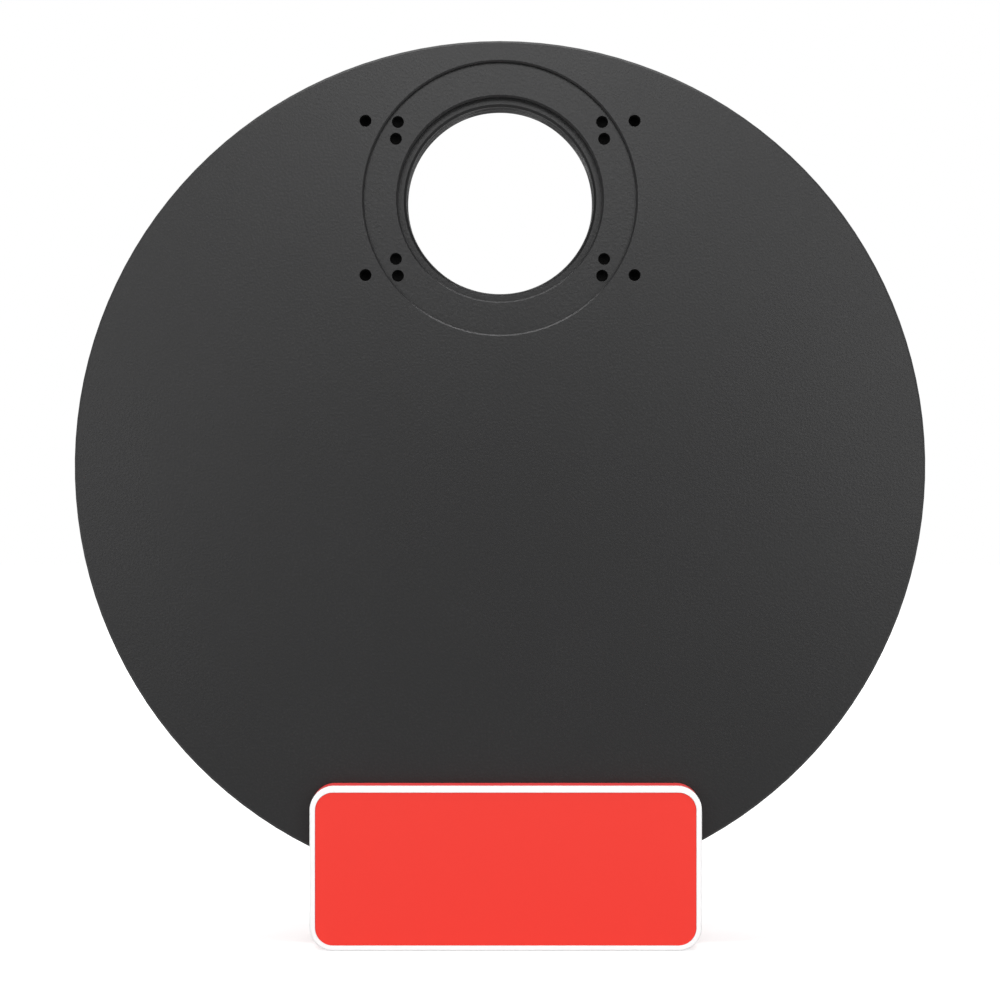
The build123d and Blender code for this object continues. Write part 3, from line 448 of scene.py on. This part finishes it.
# One finish: colour with grain and edges painted lighter, as wear and as a painted highlight along the
# chamfers, gloss with marks, a bump, and rounded edges.
def finish(name, look):
    material = bpy.data.materials.new(name)
    material.use_nodes = True
    tree = material.node_tree
    shader = tree.nodes["Principled BSDF"]
    colour = look["colour"]
    grain = nodeOf(tree, "ShaderNodeGroup", node_tree=shared["grain"])
    grain.inputs["Size"].default_value = look.get("grainSize", 0.3)
    grain.inputs["Depth"].default_value = look.get("grainShade", 0.1)
    edges = nodeOf(tree, "ShaderNodeGroup", node_tree=shared["edges"])
    edges.inputs["Radius"].default_value = look.get("edgeRadius", 0.25)
    marks = nodeOf(tree, "ShaderNodeGroup", node_tree=shared["marks"])
    marks.inputs["Amount"].default_value = look.get("marks", 0.08)
    shaded = nodeOf(tree, "ShaderNodeMix", data_type="RGBA", blend_type="MIX")
    shaded.inputs[6].default_value = (*colour, 1)
    tinted = [min(1.0, part * look.get("grainTint", 1.6) + 0.004) for part in colour]
    shaded.inputs[7].default_value = (*tinted, 1)
    tree.links.new(grain.outputs["Shade"], shaded.inputs[0])
    # painted highlight and wear: the edge mask mixes in a lighter edge colour, which stands for the
    # bright glint on chamfers as well as for rubbed edges
    wornAndHighlighted = nodeOf(tree, "ShaderNodeMix", data_type="RGBA", blend_type="MIX")
    wornAndHighlighted.inputs[7].default_value = (*look.get("edgeWearAndHighlightColour", colour), 1)
    edgeWearAndHighlight = nodeOf(tree, "ShaderNodeMath", operation="MULTIPLY")
    edgeWearAndHighlight.inputs[1].default_value = look.get("edgeWearAndHighlight", 0.0)
    tree.links.new(edges.outputs["Mask"], edgeWearAndHighlight.inputs[0])
    tree.links.new(edgeWearAndHighlight.outputs[0], wornAndHighlighted.inputs[0])
    tree.links.new(shaded.outputs[2], wornAndHighlighted.inputs[6])
    tree.links.new(wornAndHighlighted.outputs[2], shader.inputs["Base Color"])
    rough = nodeOf(tree, "ShaderNodeMath", operation="ADD")
    rough.inputs[1].default_value = look.get("roughness", 0.5)
    tree.links.new(marks.outputs["Gloss"], rough.inputs[0])
    tree.links.new(rough.outputs[0], shader.inputs["Roughness"])
    shader.inputs["Metallic"].default_value = look.get("metallic", 0.0)
    shader.inputs["Specular IOR Level"].default_value = look.get("specular", 0.5)
    rounded = nodeOf(tree, "ShaderNodeBevel", samples=6)
    rounded.inputs["Radius"].default_value = look.get("edgeRadius", 0.25) * mm
    bump = nodeOf(tree, "ShaderNodeBump")
    bump.inputs["Strength"].default_value = look.get("bump", 0.15)
    bump.inputs["Distance"].default_value = look.get("bumpDepth", 0.02) * mm
    tree.links.new(rounded.outputs["Normal"], bump.inputs["Normal"])
    if "turning" in look:
        rings = nodeOf(tree, "ShaderNodeGroup", node_tree=shared["turning"])
        rings.inputs["Spacing"].default_value = look["turning"]
        tree.links.new(rings.outputs["Height"], bump.inputs["Height"])
    else:
        tree.links.new(grain.outputs["Height"], bump.inputs["Height"])
    tree.links.new(bump.outputs["Normal"], shader.inputs["Normal"])
    return material


def glassFinish(name, tint, coat):
    # interference-coated glass: the tint lets light through, and the coat colours the gloss
    material = bpy.data.materials.new(name)
    material.use_nodes = True
    tree = material.node_tree
    shader = tree.nodes["Principled BSDF"]
    shader.inputs["Base Color"].default_value = (*tint, 1)
    shader.inputs["Transmission Weight"].default_value = 1.0
    shader.inputs["IOR"].default_value = 1.52
    shader.inputs["Specular Tint"].default_value = (*coat, 1)
    shader.inputs["Coat Weight"].default_value = 0.25
    shader.inputs["Coat IOR"].default_value = 1.6
    shader.inputs["Coat Tint"].default_value = (*coat, 1)
    marks = nodeOf(tree, "ShaderNodeGroup", node_tree=shared["marks"])
    marks.inputs["Amount"].default_value = 0.03
    rough = nodeOf(tree, "ShaderNodeMath", operation="ADD", use_clamp=True)
    rough.inputs[1].default_value = 0.02
    tree.links.new(marks.outputs["Gloss"], rough.inputs[0])
    tree.links.new(rough.outputs[0], shader.inputs["Roughness"])
    return material


# the edge colour and its amount give each finish lighter edges: partly wear, and on the black anodised
# parts partly a painted highlight on the chamfers
looks = {
    "blackAnodised": {
        "colour": (0.013, 0.013, 0.0134), "roughness": 0.31, "specular": 0.162, "grainSize": 0.6,
        "grainShade": 0.6, "bump": 1.0, "bumpDepth": 0.04, "edgeWearAndHighlightColour": (0.08, 0.08, 0.08),
        "edgeWearAndHighlight": 0.3, "edgeRadius": 0.08, "marks": 0.03,
    },
    "blackBlasted": {
        "colour": (0.014, 0.014, 0.0144), "roughness": 0.60, "specular": 0.10, "grainSize": 0.6,
        "grainShade": 0.6, "bump": 1.0, "bumpDepth": 0.04, "edgeWearAndHighlightColour": (0.08, 0.08, 0.08),
        "edgeWearAndHighlight": 0.3, "edgeRadius": 0.08, "marks": 0.03,
    },
    "blackTurned": {
        "colour": (0.020, 0.020, 0.0205), "roughness": 0.36, "specular": 0.3, "grainShade": 0.2,
        "turning": 0.22, "bump": 0.3, "bumpDepth": 0.01, "edgeWearAndHighlightColour": (0.06, 0.06, 0.06),
        "edgeWearAndHighlight": 0.3, "edgeRadius": 0.08,
    },
    # painted shade: the tapped holes get a near-black colour and little gloss, darker than the face
    # they are cut in, to stand in for the shade inside them
    "tappedHoleShade": {
        "colour": (0.004, 0.004, 0.004), "roughness": 0.6, "specular": 0.04, "grainShade": 0.2,
        "edgeRadius": 0.04,
    },
    "blackCell": {
        "colour": (0.008, 0.008, 0.009), "roughness": 0.33, "specular": 0.5, "grainShade": 0.2,
        "edgeWearAndHighlightColour": (0.10, 0.10, 0.10), "edgeWearAndHighlight": 0.35, "edgeRadius": 0.12,
    },
    "blackOxide": {
        "colour": (0.02, 0.02, 0.021), "roughness": 0.36, "specular": 0.6, "grainShade": 0.3,
        "edgeWearAndHighlightColour": (0.22, 0.21, 0.20), "edgeWearAndHighlight": 0.35, "edgeRadius": 0.1,
    },
    "groundSteel": {
        "colour": (0.52, 0.52, 0.53), "roughness": 0.25, "metallic": 1.0, "grainShade": 0.3,
        "grainTint": 0.8, "edgeWearAndHighlightColour": (0.75, 0.75, 0.75), "edgeWearAndHighlight": 0.4, "edgeRadius": 0.1,
    },
    "nickelPlate": {
        "colour": (0.66, 0.63, 0.58), "roughness": 0.15, "metallic": 1.0, "grainShade": 0.2,
        "grainTint": 0.85, "edgeWearAndHighlightColour": (0.8, 0.78, 0.74), "edgeWearAndHighlight": 0.3, "edgeRadius": 0.1,
    },
    "goldContact": {
        "colour": (0.78, 0.56, 0.22), "roughness": 0.2, "metallic": 1.0, "grainShade": 0.2,
        "grainTint": 0.85, "edgeRadius": 0.03,
    },
    "milledPlate": {
        "colour": (0.60, 0.61, 0.63), "roughness": 0.32, "metallic": 1.0, "grainShade": 0.4,
        "grainTint": 0.8, "edgeWearAndHighlightColour": (0.8, 0.8, 0.8), "edgeWearAndHighlight": 0.4, "edgeRadius": 0.12,
    },
    "zincCan": {
        "colour": (0.45, 0.46, 0.48), "roughness": 0.34, "metallic": 1.0, "grainShade": 0.4,
        "grainTint": 0.75, "edgeWearAndHighlightColour": (0.7, 0.7, 0.7), "edgeWearAndHighlight": 0.3, "edgeRadius": 0.2,
    },
    "hobbedBrass": {
        "colour": (0.66, 0.46, 0.17), "roughness": 0.27, "metallic": 1.0, "grainShade": 0.3,
        "grainTint": 0.75, "edgeWearAndHighlightColour": (0.85, 0.66, 0.32), "edgeWearAndHighlight": 0.5, "edgeRadius": 0.08,
    },
    "redAnodised": {
        "colour": (0.70, 0.045, 0.045), "roughness": 0.42, "specular": 0.4, "grainSize": 0.35,
        "grainShade": 0.2, "grainTint": 0.8, "bump": 0.2, "bumpDepth": 0.012,
        "edgeWearAndHighlightColour": (0.80, 0.12, 0.11), "edgeWearAndHighlight": 0.3, "edgeRadius": 0.3,
    },
    "whiteMoulding": {
        "colour": (0.90, 0.90, 0.90), "roughness": 0.38, "specular": 0.4, "grainSize": 0.5,
        "grainShade": 0.1, "grainTint": 0.9, "edgeRadius": 0.25, "bump": 0.1,
    },
    "redFilm": {
        "colour": (0.79, 0.030, 0.018), "roughness": 0.45, "specular": 0.3, "grainSize": 0.3,
        "grainShade": 0.10, "grainTint": 0.85, "bump": 0.15, "bumpDepth": 0.008, "edgeRadius": 0.08,
    },
    "greenMask": {
        "colour": (0.010, 0.10, 0.035), "roughness": 0.30, "specular": 0.5, "grainShade": 0.15,
        "edgeWearAndHighlightColour": (0.25, 0.22, 0.10), "edgeWearAndHighlight": 0.6, "edgeRadius": 0.12,
    },
    "chipBlack": {
        "colour": (0.015, 0.015, 0.016), "roughness": 0.5, "specular": 0.4, "grainShade": 0.3,
        "edgeWearAndHighlightColour": (0.04, 0.04, 0.04), "edgeWearAndHighlight": 0.3, "edgeRadius": 0.1,
    },
    "creamMoulding": {
        "colour": (0.72, 0.66, 0.50), "roughness": 0.4, "specular": 0.4, "grainSize": 0.5,
        "grainShade": 0.1, "grainTint": 0.9, "edgeRadius": 0.15, "bump": 0.1,
    },
    "whitePaint": {
        "colour": (0.62, 0.62, 0.60), "roughness": 0.5, "specular": 0.3, "grainShade": 0.3,
        "grainTint": 0.85, "edgeRadius": 0.03,
    },
}
finishes = {name: finish(name, look) for name, look in looks.items()}
glassTints = {
    "glass_luminance": ((0.93, 0.97, 0.95), (0.80, 1.0, 0.75)),
    "glass_red": ((0.85, 0.10, 0.06), (0.35, 0.75, 0.85)),
    "glass_green": ((0.12, 0.72, 0.20), (0.85, 0.35, 0.80)),
    "glass_blue": ((0.06, 0.18, 0.80), (0.95, 0.75, 0.30)),
    "glass_hydrogen": ((0.22, 0.012, 0.015), (0.55, 0.85, 0.95)),
    "glass_oxygen": ((0.02, 0.20, 0.17), (0.95, 0.55, 0.45)),
}
print("finishes made:", len(finishes))

buildStudio()
print("studio built")

# the CAD pieces that keep their own shape
nodeFinishes = {
    "blackAnodised": ("front_cover", "scope_ring"),
    "blackBlasted": ("rear_housing",),
    "blackTurned": ("carousel",),
    "blackCell": ("filter_cells", "filter_retainers"),
    "blackOxide": (
        "lid_screws", "housing_screws", "cover_screws", "scope_ring_screws", "axle_screws",
    ),
    "groundSteel": (
        "wheel_axle", "axle_circlip", "bearing_inner_rings", "bearing_outer_rings", "motor_screws",
        "plate_screws", "board_screws", "usb_socket", "motor_shaft",
    ),
    "nickelPlate": ("index_magnets", "motor_pins"),
    "milledPlate": ("motor_plate",),
    "zincCan": ("motor_can",),
    "hobbedBrass": ("drive_pinion",),
    "redAnodised": ("drive_housing",),
    "whiteMoulding": ("box_lid",),
    "redFilm": ("lid_label",),
    "greenMask": ("control_board",),
    "chipBlack": ("board_chips", "hall_sensor"),
    "creamMoulding": ("motor_terminal", "motor_socket"),
}
for finishName, nodeNames in nodeFinishes.items():
    for nodeName in nodeNames:
        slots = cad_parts[nodeName].data.materials
        slots.clear()
        slots.append(finishes[finishName])
for nodeName, (tint, coat) in glassTints.items():
    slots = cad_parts[nodeName].data.materials
    slots.clear()
    slots.append(glassFinish(nodeName + "Glass", tint, coat))
print("CAD nodes finished")


# the thread of the port in the cover, M48 x 0.75
portThread = {
    "outer": 23.59 * mm, "crest": 23.36 * mm, "pitch": 0.75 * mm, "length": 2.05 * mm,
    "back": 0.02 * mm, "columns": 180,
}
high = coverHigh[1] - portThread["back"]
piece = pieceFromGrids("portThread", [(threadedSleeve(
    portThread["outer"], portThread["crest"], portThread["pitch"],
    high - portThread["length"], high, portAxis, portThread["columns"]), True)])
piece.data.materials.append(finishes["blackTurned"])
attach(piece, "case")

# the thread of the empty station, M48 x 0.75, behind the port
pocketThread = {
    "outer": 23.59 * mm, "crest": 23.36 * mm, "pitch": 0.75 * mm, "front": 0.65 * mm,
    "back": 0.10 * mm, "columns": 180,
}
piece = pieceFromGrids("pocketThread", [(threadedSleeve(
    pocketThread["outer"], pocketThread["crest"], pocketThread["pitch"],
    plateFront + pocketThread["front"], plateBack - pocketThread["back"],
    portAxis, pocketThread["columns"]), True)])
piece.data.materials.append(finishes["blackTurned"])
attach(piece, "wheel")

# the telescope thread, M54 x 0.75, in the ring on the rear
scopeThread = {
    "outer": 26.59 * mm, "crest": 26.33 * mm, "pitch": 0.75 * mm, "front": 0.15 * mm,
    "back": 0.45 * mm, "columns": 200,
}
piece = pieceFromGrids("scopeThread", [(threadedSleeve(
    scopeThread["outer"], scopeThread["crest"], scopeThread["pitch"],
    ringLow[1] + scopeThread["front"], ringHigh[1] - scopeThread["back"],
    portAxis, scopeThread["columns"]), True)])
piece.data.materials.append(finishes["blackTurned"])
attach(piece, "case")

# the M3 threads of the camera's screw holes
screwHoles = {
    "outer": 1.49 * mm, "crest": 1.27 * mm, "pitch": 0.5 * mm, "start": 0.25 * mm, "end": 4.6 * mm,
    "cone": 0.85 * mm, "recess": 1.5 * mm, "columns": 20, "rowsPerTurn": 6,
    "onFace": ((67.0 * mm, 38.4 * mm),),
    "inRecess": ((51.0 * mm, 38.4 * mm), (52.0 * mm, 30.0 * mm)),
}
grids = []
for patterns, depth in ((screwHoles["onFace"], 0.0), (screwHoles["inRecess"], screwHoles["recess"])):
    for width, height in patterns:
        for sideX in (-0.5, 0.5):
            for sideZ in (-0.5, 0.5):
                grids.append((tappedHole(
                    screwHoles["outer"], screwHoles["crest"], screwHoles["pitch"],
                    faceY + depth + screwHoles["start"], faceY + screwHoles["end"],
                    screwHoles["cone"], (width * sideX, height * sideZ),
                    screwHoles["columns"], screwHoles["rowsPerTurn"]), False))
piece = pieceFromGrids("portScrewThreads", grids)
# the holes take the painted-shade finish, darker than the face around them
piece.data.materials.append(finishes["tappedHoleShade"])
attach(piece, "case")
print("threads cut")

# the screws driven from the rear: profiles as (radius, depth) and sizes in mm
rearScrews = {
    "coverScrews": {
        "node": "cover_screws", "socket": (2.0, 1.3),
        "circle": (wheelCentre, 102.8), "angles": range(-45, 226, 30),
        "profile": (
            (0, 1.0), (1.05, 1.0), (1.25, 1.2), (1.25, 17.5), (2.25, 17.5), (2.25, 19.8),
            (2.19, 19.94), (2.05, 20.0),
        ),
    },
    "ringScrews": {
        "node": "scope_ring_screws", "socket": (1.3, 0.62),
        "circle": (portAxis, 31.15), "angles": range(30, 360, 60),
        "profile": (
            (0, 17.5), (0.8, 17.5), (0.95, 17.65), (0.95, 20.05), (1.84, 20.94),
            (1.84, 20.98), (1.8, 21.0),
        ),
    },
    "axleScrews": {
        "node": "axle_screws", "socket": (1.5, 0.75),
        "circle": (wheelCentre, 6.6), "angles": range(-30, 300, 120),
        "profile": (
            (0, 16.1), (1.05, 16.1), (1.2, 16.25), (1.2, 18.9), (2.24, 19.94),
            (2.24, 19.98), (2.2, 20.0),
        ),
    },
}
screwTurn = 1.7  # radians by which each screw stands turned from the one before
screwColumns = 48
for name, screw in rearScrews.items():
    centre, radius = screw["circle"]
    width, depth = screw["socket"]
    profile = [(r * mm, y * mm) for r, y in screw["profile"]]
    places = onCircle(centre, radius * mm, screw["angles"])
    piece = pieceFromGrids(name, [
        (socketScrew(profile, width * mm, depth * mm, place, screwTurn * i, screwColumns), False)
        for i, place in enumerate(places)
    ])
    piece.data.materials.append(finishes["blackOxide"])
    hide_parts(screw["node"])
    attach(piece, "case")
print("screws made")

# the charging socket's tongue: a moulded cover and twelve contacts on each side; sizes in mm
# its outline is y = halfHeight * sign(c) * |c|^squareness for c = cos(t), and z in the same way
# with halfWidth and sin(t)
tongue = {
    "halfHeight": 0.37, "halfWidth": 3.38, "back": 42.6, "front": 47.03, "squareness": 0.2,
    "columns": 48, "pads": 12, "padPitch": 0.5, "padWidth": 0.27, "padBack": 43.2,
    "padFront": 46.6, "padRise": 0.02,
}
socketLow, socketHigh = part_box("usb_socket")
middle = ((socketLow[1] + socketHigh[1]) / 2, (socketLow[2] + socketHigh[2]) / 2)
theta = np.linspace(0, 2 * math.pi, tongue["columns"], endpoint=False)
rounded = [
    half * mm * np.sign(wave) * np.abs(wave) ** tongue["squareness"]
    for half, wave in (
        (tongue["halfHeight"], np.cos(theta)), (tongue["halfWidth"], np.sin(theta)))
]
piece = pieceFromGrids("socketTongue", [
    (barAlongX(np.stack(rounded, -1), tongue["back"] * mm, tongue["front"] * mm, middle), False)])
piece.data.materials.append(finishes["chipBlack"])
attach(piece, "case")
rise = tongue["padRise"] * mm
across = tongue["padWidth"] / 2 * mm
pad = ((-rise, -across), (rise, -across), (rise, across), (-rise, across))
piece = pieceFromGrids("socketContacts", [
    (barAlongX(pad, tongue["padBack"] * mm, tongue["padFront"] * mm, (
        middle[0] + side * tongue["halfHeight"] * mm,
        middle[1] + (i - (tongue["pads"] - 1) / 2) * tongue["padPitch"] * mm)), False)
    for side in (-1, 1) for i in range(tongue["pads"])
])
piece.data.materials.append(finishes["goldContact"])
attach(piece, "case")
print("charging socket finished")

# the filter cells: knurled rims, a chamfered spigot and a seat for the glass
cells = {
    "section": (  # radius and depth from the plate's back, in mm
        (22.40, -2.55), (22.55, -2.70), (23.35, -2.70), (23.50, -2.50), (23.50, 0.0), (25.05, 0.0),
        (25.20, 0.15), (25.20, 0.55), (25.20, 0.62), (25.20, 3.55), (25.20, 3.62), (25.20, 4.0),
        (25.00, 4.20), (23.55, 4.20), (23.38, 4.05), (23.38, 1.10), (22.40, 1.10),
    ),
    "knurledRows": (8, 9),
    "knurlDepth": 0.16 * mm,
    "ridges": 120,
    "columns": 480,
}
section = [(radius * mm, plateBack + depth * mm) for radius, depth in cells["section"]]
grids = [
    (knurled(section, cells["knurledRows"], cells["knurlDepth"], cells["ridges"],
             stationCentre(i, pocketCircle), cells["columns"]), True)
    for i in range(1, stations)
]
piece = pieceFromGrids("knurledCells", grids)
piece.data.materials.append(finishes["blackCell"])
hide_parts("filter_cells")
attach(piece, "wheel")

# the rings that hold the glass: y = back - slot depth where |t - slot| < half width, on the rear face;
# each wall of a slot lies between two columns, edgeGap before and behind it
retainers = {
    "inner": 22.3 * mm, "outer": 23.3 * mm, "front": 15.4 * mm, "back": 16.2 * mm,
    "slotDepth": 0.4 * mm, "slotHalf": 1.1 * mm, "slotAngle": 0.4, "edgeGap": 1e-3,
    "columns": 144, "chamfer": 0.12 * mm,
}
half = retainers["slotHalf"] / retainers["outer"]
slot = retainers["slotAngle"]
edges = [
    side + sign * (half + gap)
    for side in (slot, slot + math.pi) for sign in (-1, 1)
    for gap in (-retainers["edgeGap"], retainers["edgeGap"])
]
theta = np.linspace(0, 2 * math.pi, retainers["columns"], endpoint=False)
theta = np.sort(np.concatenate([theta, edges]))
inSlot = (np.abs((theta - slot + math.pi / 2) % math.pi - math.pi / 2) < half).astype(float)
back = retainers["back"] - retainers["slotDepth"] * inSlot
corner = retainers["chamfer"]
radii = np.array([
    retainers["inner"], retainers["outer"], retainers["outer"], retainers["outer"] - corner,
    retainers["inner"] + corner, retainers["inner"],
])[:, None]
front = 0 * back + retainers["front"]
depths = np.stack([front, front, back - corner, back, back, back - corner])
grids = [
    (aroundY(radii, depths, theta, stationCentre(i, pocketCircle)), True)
    for i in range(1, stations)
]
piece = pieceFromGrids("slottedRetainers", grids)
piece.data.materials.append(finishes["blackCell"])
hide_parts("filter_retainers")
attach(piece, "wheel")
print("filter cells made")

# the stations' plain numbers, painted on the wheel between the hub and each pocket
numbers = {
    "height": 6.0 * mm, "figureShare": 0.7, "distance": 34.5 * mm, "thickness": 0.03 * mm,
    "resolution": 4,
}
shape = bmesh.new()
for i in range(stations):
    words = bpy.data.curves.new("stationNumber", "FONT")
    words.body = str(i + 1)
    words.size = numbers["height"] / numbers["figureShare"]
    words.extrude = numbers["thickness"] / 2
    words.align_x = "CENTER"
    words.align_y = "CENTER"
    words.resolution_u = numbers["resolution"]
    holder = bpy.data.objects.new("stationNumber", words)
    bpy.context.scene.collection.objects.link(holder)
    mesh = bpy.data.meshes.new_from_object(holder)
    bpy.data.objects.remove(holder)
    x, z = stationCentre(i, numbers["distance"])
    facing = Matrix.Rotation(math.pi / 2, 4, "X")
    turn = Matrix.Rotation(-2 * math.pi * i / stations, 4, "Y")
    place = Matrix.Translation((x, plateFront - numbers["thickness"] / 2, z))
    mesh.transform(place @ turn @ facing)
    shape.from_mesh(mesh)
    bpy.data.meshes.remove(mesh)
mesh = bpy.data.meshes.new("stationNumbers")
shape.to_mesh(mesh)
shape.free()
piece = bpy.data.objects.new("stationNumbers", mesh)
bpy.context.scene.collection.objects.link(piece)
piece.data.materials.append(finishes["whitePaint"])
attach(piece, "wheel")
print("stations numbered")
